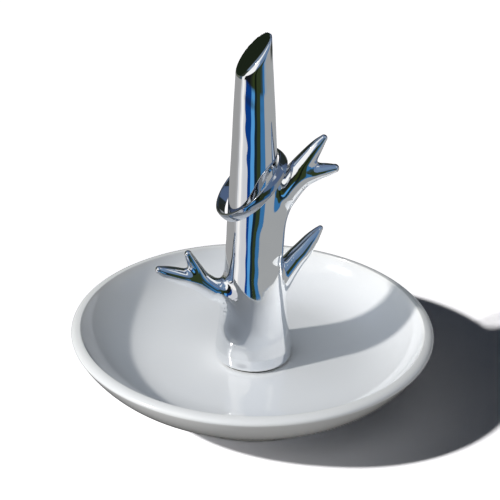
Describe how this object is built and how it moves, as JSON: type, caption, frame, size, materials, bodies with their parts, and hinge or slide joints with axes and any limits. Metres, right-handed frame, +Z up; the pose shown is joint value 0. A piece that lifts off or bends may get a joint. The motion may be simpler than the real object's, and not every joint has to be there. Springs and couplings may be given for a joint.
{
  "type": "ring dish",
  "caption": "Shallow glazed dish for jewellery with a plated metal tree standing in it, whose trunk and forked branches hold finger rings; a plain ring hangs on it.",
  "frame": {"origin": "middle of the dish's foot ring, on the surface that the dish stands on", "axes": "+Z up along the dish's axis; +X towards the upper forked branch, to the right in the picture; the picture is taken from -Y"},
  "size_m": [0.096, 0.096, 0.1007],
  "materials": {
    "porcelain": "high-gloss white glaze",
    "plating": "mirror-bright plating on a cast body",
    "rubber": "matt",
    "steel": "zinc-plated, satin",
    "silver": "polished metal"
  },
  "bodies": {
    "dish_and_tree": {"dish": "porcelain", "tree": "plating", "foot_gasket": "rubber", "soft_washer": "rubber", "steel_washer": "steel", "fixing_screw": "steel"},
    "finger_ring": {"finger_ring": "silver"}
  },
  "joints": [
    {"name": "ring_lift", "type": "slide", "parent": "dish_and_tree", "child": "finger_ring", "axis": [0, 0, 1], "range_m": [0, 0.055]}
  ]
}
